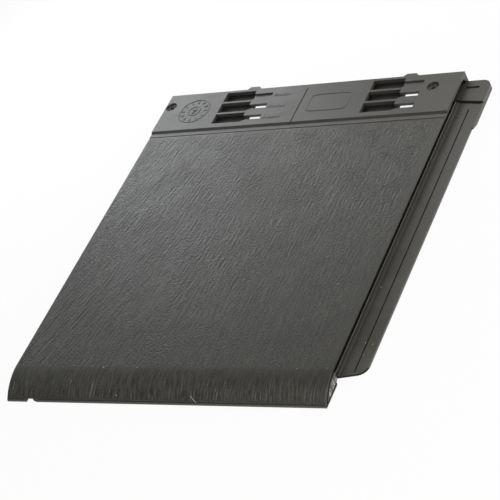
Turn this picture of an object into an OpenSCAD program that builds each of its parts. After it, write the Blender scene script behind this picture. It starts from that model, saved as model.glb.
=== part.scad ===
// Interlocking plastic roof tile, moulded in one piece with an open underside.
// It lies as on a level floor: x runs across the tile, y from the nose to the head, z up.
// Millimetres. The origin is under the middle of the whole outline, on the rest plane.

/* [Panel] */
// Width of the part that shows on a roof
panel_w = 312; // [290:1:360]
// Length from the nose tip to the head edge
tile_len = 380; // [340:1:440]
// Height of the panel's top face above the rest plane
panel_h = 12.8; // [12:0.1:16]
// Thickness of the moulded skin
skin_t = 2.8; // [2.4:0.1:3.2]
// Thickness left at the thin right edge
edge_t = 1.4; // [1:0.1:2]
// Height of the left lip's lower edge above the rest plane
lip_h = 6.5; // [6:0.1:8]

/* [Nose] */
// Length of the curved nose
nose_run = 30; // [26:1:40]
// Height of the upright rim at the nose tip
nose_rim_h = 1.5; // [1:0.1:3]
// Depth that the right end plate is set back
end_setback = 0.8; // [0.4:0.1:3]
// Height of the right end plate's foot
end_foot_h = 0.9; // [0.5:0.1:2]
// Length of the sloping corner at the right end's rear
end_corner_run = 6; // [2:0.1:8]
// Height of that corner
end_corner_h = 2.4; // [1:0.1:3.4]
// Distance from the left edge to the drain notch
notch_inset = 20.5; // [10:0.1:40]
// Width of the drain notch
notch_w = 10.4; // [6:0.1:20]
// Height of the drain notch
notch_h = 2.6; // [1.5:0.1:4]
// Sideways run of the notch's sloping right end
notch_slope = 3.5; // [1:0.1:5]

/* [Head strip] */
// Depth of the raised strip along the head
strip_d = 52.2; // [48:0.2:60]
// Height of the strip above the ledge in front of it
strip_rise = 1.5; // [1:0.1:3]
// Forward run of the strip's sloping front
riser_run = 2.4; // [1:0.1:4]
// Depth of the flat ledge in front of the strip
ledge_d = 4.4; // [2:0.1:8]
// Height of the ledge above the panel
ledge_rise = 0.4; // [0.2:0.1:0.8]
// Distance of the middle groove from the panel's centre line
groove_x = -2; // [-10:0.5:10]
// Width of the middle groove
groove_w = 1.3; // [0.8:0.1:2]
// Depth of the middle groove
groove_depth = 0.8; // [0.4:0.1:1.2]
// Distance from the head edge to the middle groove's end
groove_inset = 5.6; // [3:0.1:10]

/* [Keyhole slots] */
// Distance from the left edge to the left pockets
left_group_inset = 65; // [50:0.5:80]
// Distance from the right edge to the right pockets
right_group_inset = 89.2; // [80:0.2:96]
// Number of rows
row_count = 3; // [1:1:3]
// Distance from row to row
row_pitch = 15.35; // [14.5:0.05:15.8]
// Distance from the head edge to the first row
row_inset = 2.9; // [2.6:0.1:4]
// Width of a pocket across the tile
pocket_w = 32.4; // [20:0.2:34]
// Depth of a pocket along the tile
pocket_d = 13; // [11:0.1:13.2]
// Depth of a pocket below the strip's top
pocket_depth = 5.5; // [4.5:0.1:6]
// Thickness of a pocket's floor and side walls
pocket_t = 1.8; // [1.4:0.1:2.2]
// Length of the narrow slot beside a pocket
slot_len = 20; // [12:0.5:24]
// Width of the narrow slot
slot_w = 5.8; // [4.6:0.1:6.6]
// Distance from a pocket's front edge to its narrow slot
slot_offset = 2.6; // [2.2:0.1:4]
// Sideways run of the sloping corner at the slot's mouth
mouth_run = 4.5; // [2:0.1:6]
// Depth of the sloping corner at the slot's mouth
mouth_d = 1.8; // [1:0.1:2.1]
// Depth of the first row's narrow slot, which is blind
blind_depth = 1.5; // [1:0.1:2]

/* [Fixing holes] */
// Bore for the fixing screw
hole_d = 4.6; // [4:0.1:5.2]
// Diameter of the recess for the screw's head
recess_d = 11.6; // [9:0.1:11.8]
// Depth of the recess
recess_depth = 2; // [1:0.1:2.4]
// Length of the bore under the recess
bore_len = 3; // [2:0.1:4]
// Wall of the boss around the recess
boss_wall = 0.5; // [0.4:0.1:2]
// Distance from the left edge to the left hole
left_hole_inset = 6.4; // [6.4:0.1:20]
// Distance from the right edge to the right hole
right_hole_inset = 25.6; // [18:0.1:28]
// Distance from the head edge to both holes
hole_inset = 17; // [12:0.2:30]
// Number of small ribs on a recess's floor
recess_ribs = 4; // [3:1:6]
// Width of those ribs
recess_rib_w = 0.8; // [0.6:0.1:1.2]

/* [Head tabs] */
// Distance from the left edge to the left tab's middle
left_tab_inset = 93.5; // [60:0.5:120]
// Distance from the right edge to the right tab's middle
right_tab_inset = 53; // [30:0.5:100]
// Width of a tab at the head edge
tab_base_w = 15.6; // [12:0.1:24]
// Width of a tab at its outer edge
tab_top_w = 9.4; // [5:0.1:11]
// Distance that a tab stands out from the head edge
tab_out = 3.3; // [2:0.1:6]

/* [Interlock] */
// Width of the flange outside the panel's right edge
lock_w = 23.3; // [21:0.1:32]
// Height of the flange's top face above the rest plane
lock_h = 4; // [3.6:0.1:4.6]
// Thickness of the flange
lock_t = 2; // [1.6:0.1:2.6]
// Distance from the nose tip to the flange's front edge
lock_start = 28.8; // [26:0.2:36]
// Distance that the flange's front edge slants back
lock_slant = 4.5; // [1:0.1:6]
// Radius of the flange's front corner
front_corner_r = 10; // [4:0.5:14]
// Depth of the channel under the panel's right edge
channel_d = 8; // [6:0.5:12]
// Distance of the weather rib inside the panel's right edge
rib_inset = 3; // [1:0.1:4]
// Height of the weather rib
rib_h = 1.2; // [0.6:0.1:1.6]
// Width of the weather rib's top
rib_top_w = 1.2; // [0.8:0.1:2]
// Width of the weather rib's foot
rib_foot_w = 4.5; // [3:0.1:7]
// Distance from the flange's outer edge to the drip groove
drip_inset = 10.6; // [6:0.1:14]
// Width of the drip groove
drip_w = 1.2; // [0.8:0.1:2]
// Depth of the drip groove
drip_depth = 0.9; // [0.4:0.1:1]
// Distance from the flange's front edge to the drip groove
drip_start = 5; // [4:0.1:20]
// Distance from the drip groove to the block at the flange's head
drip_end = 11.5; // [4:0.1:20]

/* [Interlock head] */
// Depth of the raised block at the flange's head
block_d = 26; // [22:0.5:34]
// Distance that the block's front edge slants forward
block_slant = 3.5; // [0:0.1:6]
// Height of the block above the flange
block_rise = 1.4; // [0.6:0.1:1.8]
// Distance from the head edge to the block
block_inset = 2.5; // [2.2:0.1:2.6]
// Radius of the block's outer corner
block_corner_r = 9; // [4:0.5:12]
// Width of the groove in front of the block
block_groove_w = 2.2; // [1:0.1:4]
// Depth of that groove
block_groove_depth = 1; // [0.5:0.1:1.2]
// Length of the slot in the block
block_slot_len = 13; // [8:0.5:15]
// Width of the slot in the block
block_slot_w = 2.8; // [2:0.1:4]
// Distance from the panel's edge to the middle of the slot
block_slot_x = 8; // [7:0.1:10]
// Distance from the block's rear to the middle of the slot
block_slot_y = 9.2; // [6:0.1:12]
// Height of the weather rib above the block
head_rib_h = 0.8; // [0.4:0.1:1.4]
// Distance of that stretch of the rib inside the panel's right edge
head_rib_inset = 4.2; // [2:0.1:5]
// Distance that the downstand and the block stand out past the flange
lug_out = 1.2; // [0.4:0.1:3]
// Length of the downstand along the flange's outer edge
lug_len = 62.5; // [50:0.5:90]
// Thickness of the downstand
lug_t = 2.6; // [2:0.1:4]
// Length of the downstand's sloping front
lug_slope = 8; // [4:0.5:16]
// Length of the web that closes the channel at the head
web_run = 8.5; // [5:0.5:20]

/* [Hidden] */

tile_color = "#4b4b48";
arc_steps = 28;
corner_steps = 10;
overlap = 0.4;
through = 1;

half_w = panel_w / 2;
flange_x = half_w + lock_w;
right_x = flange_x + lug_out;
full_len = tile_len + tab_out;
middle_x = (right_x - half_w) / 2;

// Levels of the head strip and of the parts below it
ledge_h = panel_h + ledge_rise;
strip_h = ledge_h + strip_rise;
strip_under = strip_h - skin_t;
panel_under = panel_h - skin_t;
pocket_floor = strip_h - pocket_depth;
block_h = lock_h + block_rise;
lock_under = lock_h - lock_t;

// Places along the tile
strip_y = tile_len - strip_d;
riser_y = strip_y - riser_run;
ledge_y = riser_y - ledge_d;
head_wall_y = tile_len - skin_t;
hole_y = tile_len - hole_inset;
block_rear = tile_len - block_inset;
block_front = block_rear - block_d;
lug_y = block_rear - lug_len;

// Places across the tile
channel_x = half_w - channel_d;
left_group_x = left_group_inset - half_w;
right_group_x = half_w - right_group_inset;
left_hole_x = left_hole_inset - half_w;
right_hole_x = half_w - right_hole_inset;
left_tab_x = left_tab_inset - half_w;
right_tab_x = half_w - right_tab_inset;

// Nose arc: level where it meets the panel, and cut by the upright rim at the tip
nose_drop = panel_h - nose_rim_h;
nose_r = (nose_run * nose_run + nose_drop * nose_drop) / (2 * nose_drop);
nose_center = [nose_run, panel_h - nose_r];
nose_end_angle = 180 - acos(nose_run / nose_r);
inner_end_angle = 180 - asin((nose_r - panel_h) / (nose_r - skin_t));

// Points on an arc, from one angle to another
function arc(center, r, from, to, steps) = [
    for (i = [0 : steps])
        let (a = from + (to - from) * i / steps)
            center + r * [cos(a), sin(a)]
];

// Extrudes an outline in y and z across the tile, between two places in x
module across(from, to) {
    translate([from, 0, 0])
        rotate([90, 0, 90])
            linear_extrude(height = to - from)
                children();
}

// A box given by its two corners
module slab(low, high) {
    translate(low)
        cube(high - low);
}

// Section of the skin: nose, panel, ledge and head strip
module skin_section() {
    nose_outside = arc(nose_center, nose_r, nose_end_angle, 90, arc_steps);
    nose_inside = arc(nose_center, nose_r - skin_t, 90, inner_end_angle, arc_steps);
    top = [
        [ledge_y, panel_h],
        [ledge_y, ledge_h],
        [riser_y, ledge_h],
        [strip_y, strip_h],
        [tile_len, strip_h]
    ];
    underside = [
        [tile_len, 0],
        [head_wall_y, 0],
        [head_wall_y, strip_under],
        [strip_y + skin_t, strip_under],
        [strip_y + skin_t, panel_under]
    ];
    polygon(concat([[0, 0]], nose_outside, top, underside, nose_inside));
}

// Space under the left side and the head that the next tile's interlock needs
module next_tile_room() {
    room_x = right_x - panel_w + through;
    slab([-half_w - through, nose_run, -through], [room_x, full_len, lip_h]);
}

module skin() {
    difference() {
        across(-half_w, half_w)
            skin_section();
        next_tile_room();
        right_edge_relief();
    }
}

// Thins the skin's right edge from below, over the channel
module right_edge_relief() {
    relief = skin_t - edge_t;
    translate([half_w, lock_start, panel_under])
        rotate([0, 45, 0])
            translate([-relief, 0, -relief])
                cube([2 * relief, head_wall_y - web_run - lock_start, 2 * relief]);
}

module left_lip() {
    slab([-half_w, nose_run, lip_h], [skin_t - half_w, tile_len, panel_under + overlap]);
}

// Closes an end of the nose, under the skin, as far back as a place along the tile
module nose_end(x, rear) {
    across(x, x + skin_t)
        intersection() {
            polygon(concat(
                [[nose_run, 0], [overlap, 0]],
                arc(nose_center, nose_r - overlap, nose_end_angle, 90, arc_steps)
            ));
            square([rear, panel_h]);
        }
}

// Right end of the nose: a plate set back under the skin, with a foot and a sloping rear corner
module right_nose_end() {
    difference() {
        union() {
            nose_end(half_w - end_setback - skin_t, lock_start);
            slab([half_w - end_setback - skin_t, overlap, 0], [half_w, lock_start, end_foot_h]);
        }
        across(half_w - end_setback - skin_t - through, half_w + through)
            polygon([
                [lock_start - end_corner_run, -overlap],
                [lock_start - end_corner_run, 0],
                [lock_start, end_corner_h],
                [lock_start + through, end_corner_h],
                [lock_start + through, -overlap]
            ]);
    }
}

// Wall between the hollow underside and the channel
module channel_wall() {
    slab(
        [channel_x - skin_t, lock_start - skin_t, lock_under],
        [channel_x, tile_len - overlap, panel_under + overlap]
    );
    slab(
        [channel_x - skin_t, strip_y, panel_under],
        [channel_x, tile_len - overlap, strip_under + overlap]
    );
}

// Outline of the flange, with a slanting front and a round front corner
module flange_outline() {
    lean = atan2(lock_slant, lock_w);
    corner_rise = front_corner_r * (1 / cos(lean) - tan(lean));
    corner_middle = [flange_x - front_corner_r, lock_start + lock_slant + corner_rise];
    polygon(concat(
        [[channel_x - skin_t, lock_start], [half_w, lock_start]],
        arc(corner_middle, front_corner_r, lean - 90, 0, corner_steps),
        [[flange_x, lug_y + overlap], [channel_x - skin_t, lug_y + overlap]]
    ));
}

// Outline of the flange's head, from a front edge that may slant forward to a round rear corner
module head_outline(front, slant) {
    corner_middle = [right_x - block_corner_r, block_rear - block_corner_r];
    polygon(concat(
        [[channel_x - skin_t, front], [half_w, front], [right_x, front - slant]],
        arc(corner_middle, block_corner_r, 0, 90, corner_steps),
        [[channel_x - skin_t, block_rear]]
    ));
}

module flange() {
    translate([0, 0, lock_under])
        linear_extrude(height = lock_t) {
            flange_outline();
            head_outline(lug_y, 0);
        }
}

// Raised block at the flange's head
module block() {
    translate([0, 0, lock_h - overlap])
        linear_extrude(height = block_rise + overlap)
            head_outline(block_front, block_slant);
}

// A stretch of the weather rib, a low ridge whose outer side slopes down to a base level
module weather_rib(inset, front, rear, base, rise) {
    translate([half_w - inset, rear, 0])
        rotate([90, 0, 0])
            linear_extrude(height = rear - front)
                polygon([
                    [0, base - overlap],
                    [rib_foot_w, base - overlap],
                    [rib_foot_w, base],
                    [rib_top_w, base + rise],
                    [0, base + rise]
                ]);
}

// Downstand along the flange's outer edge, sloping up at its front
module lug() {
    intersection() {
        across(right_x - lug_t, right_x)
            polygon([
                [lug_y + lug_slope, 0],
                [lug_y, lock_under + overlap],
                [block_rear, lock_under + overlap],
                [block_rear, 0]
            ]);
        linear_extrude(height = lock_h)
            head_outline(lug_y, 0);
    }
}

// Web that closes the channel's end at the head
module head_web() {
    across(half_w - skin_t, half_w)
        polygon([
            [tile_len, lock_under],
            [tile_len, strip_under + overlap],
            [tile_len - web_run, strip_under + overlap],
            [head_wall_y, block_h],
            [head_wall_y, lock_under]
        ]);
}

// Places of the keyholes: the left end of each pocket, and its row counted from the head
module each_keyhole() {
    for (x = [left_group_x, right_group_x])
        for (row = [0 : row_count - 1])
            translate([x, tile_len - row_inset - pocket_d - row * row_pitch, 0]) {
                $row = row;
                children();
            }
}

// Box under the strip that holds a group's pockets
module pocket_box(x) {
    rows_d = pocket_d + (row_count - 1) * row_pitch;
    rear = tile_len - row_inset;
    slab(
        [x - pocket_t, rear - rows_d - pocket_t, pocket_floor - pocket_t],
        [x + pocket_w + pocket_t, tile_len - overlap, strip_under + overlap]
    );
}

// A blind pocket and the narrow slot beside it
module keyhole(slot_depth) {
    translate([0, 0, pocket_floor])
        cube([pocket_w, pocket_d, pocket_depth + through]);
    translate([pocket_w, slot_offset, strip_h - slot_depth])
        linear_extrude(height = slot_depth + through)
            polygon([
                [-overlap, -mouth_d],
                [0, -mouth_d],
                [mouth_run, 0],
                [slot_len, 0],
                [slot_len, slot_w],
                [-overlap, slot_w]
            ]);
}

module keyholes() {
    each_keyhole()
        keyhole($row == 0 ? blind_depth : skin_t + through);
}

module at_holes() {
    for (x = [left_hole_x, right_hole_x])
        translate([x, hole_y, 0])
            children();
}

module fixing_boss() {
    boss_h = recess_depth + bore_len;
    translate([0, 0, strip_h - boss_h])
        cylinder(d = recess_d + 2 * boss_wall, h = boss_h - overlap, $fn = 64);
}

// Screw recess with small ribs round its floor, and the bore below it
module fixing_cut() {
    floor_h = strip_h - recess_depth;
    rib_h = recess_depth / 2;
    difference() {
        translate([0, 0, floor_h])
            cylinder(d = recess_d, h = recess_depth + through, $fn = 64);
        for (i = [0 : recess_ribs - 1])
            rotate([0, 0, 45 + i * 360 / recess_ribs])
                translate([hole_d / 2 + recess_rib_w, -recess_rib_w / 2, floor_h - overlap])
                    cube([recess_d, recess_rib_w, rib_h + overlap]);
    }
    translate([0, 0, floor_h - bore_len - through])
        cylinder(d = hole_d, h = bore_len + 2 * through, $fn = 64);
}

// A tapered tab on the head edge, level with the strip
module head_tab(x) {
    translate([x, tile_len, strip_under])
        linear_extrude(height = skin_t)
            polygon([
                [-tab_base_w / 2, -overlap],
                [tab_base_w / 2, -overlap],
                [tab_base_w / 2, 0],
                [tab_top_w / 2, tab_out],
                [-tab_top_w / 2, tab_out],
                [-tab_base_w / 2, 0]
            ]);
}

module middle_groove() {
    slab(
        [groove_x - groove_w / 2, riser_y, strip_h - groove_depth],
        [groove_x + groove_w / 2, tile_len - groove_inset, strip_h + through]
    );
}

module drip_groove() {
    x = flange_x - drip_inset;
    slab(
        [x - drip_w / 2, lock_start + drip_start, lock_h - drip_depth],
        [x + drip_w / 2, block_front - drip_end, lock_h + through]
    );
}

// Groove across the flange, along the block's slanting front
module block_groove() {
    groove_floor = lock_h - block_groove_depth;
    translate([0, 0, groove_floor])
        linear_extrude(height = block_h - groove_floor)
            intersection() {
                difference() {
                    head_outline(block_front - block_groove_w, block_slant);
                    head_outline(block_front, block_slant);
                }
                translate([channel_x, 0])
                    square([right_x - lug_t - channel_x, tile_len]);
            }
}

module block_slot() {
    slab(
        [half_w + block_slot_x - block_slot_len / 2, block_rear - block_slot_y - block_slot_w / 2, 0],
        [half_w + block_slot_x + block_slot_len / 2, block_rear - block_slot_y + block_slot_w / 2,
            block_h + through]
    );
}

// Drain notch in the rim at the nose's left, upright on one side and sloping on the other
module drain_notch() {
    translate([notch_inset - half_w, nose_run / 2, 0])
        rotate([90, 0, 0])
            linear_extrude(height = nose_run)
                polygon([
                    [0, -through],
                    [notch_w, -through],
                    [notch_w, 0],
                    [notch_w - notch_slope, notch_h],
                    [0, notch_h]
                ]);
}

module roof_tile() {
    color(tile_color)
        translate([-middle_x, -full_len / 2, 0])
            difference() {
                union() {
                    skin();
                    left_lip();
                    nose_end(-half_w, nose_run);
                    right_nose_end();
                    channel_wall();
                    flange();
                    block();
                    weather_rib(rib_inset, lock_start + overlap, block_front + overlap, lock_h, rib_h);
                    weather_rib(head_rib_inset, block_front, head_wall_y, block_h, head_rib_h);
                    lug();
                    head_web();
                    pocket_box(left_group_x);
                    pocket_box(right_group_x);
                    at_holes()
                        fixing_boss();
                    head_tab(left_tab_x);
                    head_tab(right_tab_x);
                }
                keyholes();
                at_holes()
                    fixing_cut();
                middle_groove();
                drip_groove();
                block_groove();
                block_slot();
                drain_notch();
            }
}

roof_tile();
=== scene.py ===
"""Looks of a slate-grain plastic roof tile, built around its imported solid.

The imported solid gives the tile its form. This script adds the moulded slate grain of the
weather face, the small raised marks of the head strip, dust and scuffs, a finish for every
surface, and a plain studio with the camera of the photograph. Sizes of shapes are in millimetres
in the tile's own frame: x across from the middle of the panel, y from the nose to the head, z up
from the rest plane. Meshes, finishes, lamps and camera are in metres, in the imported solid's frame.
"""

import logging
import math
from dataclasses import dataclass
from enum import Enum
from typing import Any, Iterable, Mapping, Optional, Sequence, Tuple

import bpy
import numpy as np
from mathutils import Matrix, Vector


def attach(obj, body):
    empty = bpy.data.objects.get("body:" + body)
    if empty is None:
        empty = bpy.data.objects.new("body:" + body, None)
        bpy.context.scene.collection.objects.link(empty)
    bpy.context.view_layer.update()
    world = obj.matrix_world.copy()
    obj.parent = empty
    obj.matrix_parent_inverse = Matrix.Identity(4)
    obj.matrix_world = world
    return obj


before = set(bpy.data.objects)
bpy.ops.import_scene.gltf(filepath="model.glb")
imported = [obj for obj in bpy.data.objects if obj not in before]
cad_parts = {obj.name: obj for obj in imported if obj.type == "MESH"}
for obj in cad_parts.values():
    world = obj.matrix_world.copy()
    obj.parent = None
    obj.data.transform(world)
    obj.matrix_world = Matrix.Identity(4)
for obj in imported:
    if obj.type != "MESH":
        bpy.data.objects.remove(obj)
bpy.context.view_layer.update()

MM = 0.001
TILE_TO_PART = np.array([-12.25, -191.65, 0.0])
BODY = "root"
NODE = "roof_tile"
BAKE_MAP = "OFBake"
RELIEF = "relief"
PRINCIPLED = "ShaderNodeBsdfPrincipled"

Colour = Tuple[float, float, float, float]
Spot = Tuple[float, float, float]
Span = Tuple[float, float]
Pieces = Sequence[bpy.types.Object]

WHITE: Colour = (1.0, 1.0, 1.0, 1.0)
PLAIN: Spot = (1.0, 1.0, 1.0)
WARM: Spot = (1.0, 0.982, 0.955)
COOL: Spot = (0.93, 0.96, 1.0)
PLASTIC_IOR = 1.5
NOISE_MEAN = 0.5

log = logging.getLogger("roof_tile")


@dataclass(frozen=True)
class Pattern:
    """Shader noise: cells per metre, octaves, their share, and how its coordinates lie."""

    scale: float
    detail: float = 2.0
    rough: float = 0.5
    stretch: Spot = (1.0, 1.0, 1.0)
    turn: Spot = (0.0, 0.0, 0.0)


class Wire:
    """A shader output that can stand in Python sums, each of which adds a Math node."""

    def __init__(self, recipe: "Recipe", socket: bpy.types.NodeSocket) -> None:
        """Wrap one output socket of a recipe's tree."""
        self.recipe = recipe
        self.socket = socket

    def _math(self, operation: str, left: Any, right: Any) -> "Wire":
        """Add a Math node on two values or wires."""
        return self.recipe.node("ShaderNodeMath", {"operation": operation}, {0: left, 1: right})

    def __add__(self, other: Any) -> "Wire":
        """Sum with a number or wire."""
        return self._math("ADD", self, other)

    def __sub__(self, other: Any) -> "Wire":
        """Difference with a number or wire."""
        return self._math("SUBTRACT", self, other)

    def __rsub__(self, other: Any) -> "Wire":
        """Difference from a number on the left."""
        return self._math("SUBTRACT", other, self)

    def __mul__(self, other: Any) -> "Wire":
        """Product with a number or wire."""
        return self._math("MULTIPLY", self, other)

    __radd__ = __add__
    __rmul__ = __mul__

    def at_least(self, other: Any) -> "Wire":
        """The higher of this and another value."""
        return self._math("MAXIMUM", self, other)

    def step(self, low: float, high: float) -> "Wire":
        """A smooth step from 0 at low to 1 at high."""
        ends = {"Value": self, "From Min": low, "From Max": high}
        return self.recipe.node("ShaderNodeMapRange", {"interpolation_type": "SMOOTHSTEP"}, ends)


class Recipe:
    """The node tree of one material or world, built node by node."""

    MIX_SHARE, MIX_FIRST, MIX_SECOND = 0, 6, 7
    MIX_COLOUR = 2

    def __init__(self, owner: Any) -> None:
        """Empty the owner's node tree.

        Args:
            owner: A material or world.
        """
        owner.use_nodes = True
        self.owner = owner
        self.tree = owner.node_tree
        self.tree.nodes.clear()

    def node(
        self,
        kind: str,
        settings: Optional[Mapping[str, Any]] = None,
        inputs: Optional[Mapping[Any, Any]] = None,
        out: Any = 0,
    ) -> Wire:
        """Add a node, set it, then feed its sockets.

        Args:
            kind: The node's Blender type.
            settings: Attributes of the node.
            inputs: Values or wires by socket name or number.
            out: Name or number of the output to return.

        Returns:
            The output as a wire.
        """
        made = self.tree.nodes.new(kind)
        for name, value in (settings or {}).items():
            setattr(made, name, value)
        for key, value in (inputs or {}).items():
            if isinstance(value, Wire):
                self.tree.links.new(value.socket, made.inputs[key])
            else:
                made.inputs[key].default_value = value
        return Wire(self, made.outputs[out] if len(made.outputs) else None)

    def place(self, turn: Spot = (0.0, 0.0, 0.0), stretch: Spot = (1.0, 1.0, 1.0)) -> Wire:
        """Object coordinates, turned and stretched by a Mapping node.

        Args:
            turn: Rotation about the three axes, in radians.
            stretch: Scale along the three axes.

        Returns:
            The coordinates, in metres.
        """
        inputs = {"Rotation": turn, "Scale": stretch}
        inputs["Vector"] = self.node("ShaderNodeTexCoord", out="Object")
        return self.node("ShaderNodeMapping", None, inputs)

    def noise(self, pattern: Pattern) -> Wire:
        """Blender's noise in a pattern, about NOISE_MEAN in the mean."""
        inputs = {
            "Vector": self.place(pattern.turn, pattern.stretch),
            "Scale": pattern.scale,
            "Detail": pattern.detail,
            "Roughness": pattern.rough,
        }
        return self.node("ShaderNodeTexNoise", None, inputs)

    def mix(self, share: Any, first: Any, second: Any) -> Wire:
        """Blend two colours by a share from 0, the first, to 1, the second."""
        sockets = {self.MIX_SHARE: share, self.MIX_FIRST: first, self.MIX_SECOND: second}
        return self.node("ShaderNodeMix", {"data_type": "RGBA"}, sockets, self.MIX_COLOUR)

    def bump(self, height: Wire, depth: float, under: Optional[Wire] = None) -> Wire:
        """A Bump node.

        Args:
            height: The pattern, 0 to 1.
            depth: What a height of 1 stands for, in metres.
            under: A normal to bend further, or None.

        Returns:
            The bent normal.
        """
        inputs = {"Strength": 1.0, "Distance": depth, "Height": height}
        if under is not None:
            inputs["Normal"] = under
        return self.node("ShaderNodeBump", None, inputs)

    def surface(self, shader: Wire) -> None:
        """Send a shader to the tree's output."""
        kind = "World" if isinstance(self.owner, bpy.types.World) else "Material"
        self.node(f"ShaderNodeOutput{kind}", None, {"Surface": shader})


class Moulding(Enum):
    """How a plastic surface left its mould."""

    SMOOTH = "smooth"
    GRAIN = "grain"
    MARK = "mark"


@dataclass(frozen=True)
class Finish:
    """A named finish, whose kinds each make their own shader."""

    name: str

    def shader(self, recipe: Recipe) -> Wire:
        """Build the finish's shader.

        Args:
            recipe: The material's node tree.

        Returns:
            The shader.
        """
        raise NotImplementedError

    def material(self) -> bpy.types.Material:
        """Build the material.

        Returns:
            The new material.
        """
        made = bpy.data.materials.new(self.name)
        recipe = Recipe(made)
        recipe.surface(self.shader(recipe))
        return made


@dataclass(frozen=True)
class PlasticFinish(Finish):
    """Through-coloured anthracite plastic with a satin skin.

    The colour drifts between a dark and a light tone in soft clouds, a thin dust film lightens
    patches, and a fine spark-eroded texture breaks the gloss. Smooth mouldings have faint wiped
    smears, painted shade in their recesses, most of it in the deep ones, and edges rounded by a
    Bevel node. Grain faces lighten their crests and darken their grooves by the stored relief,
    as painted highlight and painted shade, and have fine fibres.
    """

    moulding: Moulding
    dark: Colour = (0.0588, 0.0574, 0.0515, 1.0)
    light: Colour = (0.0755, 0.0734, 0.0657, 1.0)
    dust: Colour = (0.106, 0.102, 0.094, 1.0)
    # painted shade in the grooves and painted highlight on the crests of the grain
    groove: Colour = (0.0330, 0.0321, 0.0273, 1.0)
    crest: Colour = (0.0640, 0.0623, 0.0533, 1.0)
    plain_ridge: float = 0.7
    smooth_dust: float = 0.38
    thin_dust: float = 0.20
    # painted shade: the colour that closed recesses take, where shade falls
    recess_shade: Colour = (0.007, 0.0066, 0.0058, 1.0)
    recess_reach: float = 0.014
    recess_open: Span = (0.46, 0.97)
    painted_shade: float = 0.98
    shade_level: Span = (0.0100, 0.0124)
    shallow_shade: float = 0.35
    rough: float = 0.43
    pit_rough: float = 0.12
    cloud_rough: float = 0.24
    dust_rough: float = 0.10
    shade_rough: float = 0.40
    edge_radius: float = 0.00035
    pit_depth: float = 0.00002
    fibre_depth: float = 0.00012
    fibre_share: float = 0.75

    CLOUDS = Pattern(24.0, 3.0, 0.55)
    CLOUD_SPAN = (0.30, 0.70)
    FILM = Pattern(70.0, 5.0, 0.65)
    FILM_SPAN = (0.56, 0.80)
    WIPES = Pattern(150.0, 4.0, 0.6, stretch=(0.16, 1.0, 1.0))
    WIPE_SPAN = (0.48, 0.78)
    STREAKS = Pattern(260.0, 3.0, 0.6, stretch=(1.0, 0.12, 1.0))
    STREAK_SPAN = (0.3, 0.7)
    PITS = Pattern(1500.0, 2.0, 0.6)
    FIBRES = Pattern(900.0, 3.0, 0.62, stretch=(1.0, 0.22, 1.0))
    OPEN_SAMPLES = 8
    EDGE_SAMPLES = 4

    def _ridges(self, recipe: Recipe) -> Wire:
        """The tone of a grain face, from grooves to crests, broken up by fine streaks.

        The darker grooves are painted shade and the lighter crests a painted highlight.

        Args:
            recipe: The material's node tree.

        Returns:
            The colour.
        """
        relief = recipe.node("ShaderNodeAttribute", {"attribute_name": RELIEF}, None, "Fac")
        streaks = recipe.noise(self.STREAKS).step(*self.STREAK_SPAN)
        return recipe.mix(relief * part(self.plain_ridge, streaks), self.groove, self.crest)

    def _painted_shade(self, recipe: Recipe) -> Wire:
        """The share of painted shade in recesses, by how closed they are and how deep they lie.

        Args:
            recipe: The material's node tree.

        Returns:
            The share, 0 to 1.
        """
        local = {"samples": self.OPEN_SAMPLES, "only_local": True}
        reach = {"Distance": self.recess_reach}
        free = recipe.node("ShaderNodeAmbientOcclusion", local, reach, "AO")
        level = recipe.node("ShaderNodeSeparateXYZ", None, {"Vector": recipe.place()}, "Z")
        depth = 1 - (1 - self.shallow_shade) * level.step(*self.shade_level)
        return self.painted_shade * depth * (1 - free.step(*self.recess_open))

    def _normal(self, recipe: Recipe, pits: Wire) -> Wire:
        """The normal: fibres and pits on the grain, rounded edges and pits elsewhere.

        Args:
            recipe: The material's node tree.
            pits: The spark-eroded texture.

        Returns:
            The normal.
        """
        if self.moulding is Moulding.GRAIN:
            fibres = self.fibre_share * recipe.noise(self.FIBRES)
            return recipe.bump(fibres + (1 - self.fibre_share) * pits, self.fibre_depth)
        rounding = {"Radius": self.edge_radius}
        edge = recipe.node("ShaderNodeBevel", {"samples": self.EDGE_SAMPLES}, rounding)
        return recipe.bump(pits, self.pit_depth, edge)

    def shader(self, recipe: Recipe) -> Wire:
        """Build the plastic's shader.

        Args:
            recipe: The material's node tree.

        Returns:
            The shader.
        """
        plain = self.moulding is Moulding.SMOOTH
        clouds = recipe.noise(self.CLOUDS)
        film = recipe.noise(self.FILM).step(*self.FILM_SPAN)
        pits = recipe.noise(self.PITS)
        if plain:
            film = film.at_least(recipe.noise(self.WIPES).step(*self.WIPE_SPAN))
        if self.moulding is Moulding.GRAIN:
            # painted shade and painted highlight of the grain's relief
            tone = self._ridges(recipe)
        else:
            tone = recipe.mix(clouds.step(*self.CLOUD_SPAN), self.dark, self.light)
        dusty = self.smooth_dust if plain else self.thin_dust
        colour = recipe.mix(dusty * film, tone, self.dust)
        rough = self.rough + self.pit_rough * (pits - NOISE_MEAN)
        rough = rough + self.cloud_rough * (clouds - NOISE_MEAN) + self.dust_rough * film
        if plain:
            # painted shade: recesses darkened by how closed they are and how low they lie, and made
            # rougher
            painted_shade = self._painted_shade(recipe)
            colour = recipe.mix(painted_shade, colour, self.recess_shade)
            rough = rough + self.shade_rough * painted_shade
        inputs = {
            "Base Color": colour,
            "Roughness": rough,
            "IOR": PLASTIC_IOR,
            "Normal": self._normal(recipe, pits),
        }
        return recipe.node(PRINCIPLED, None, inputs)


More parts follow.
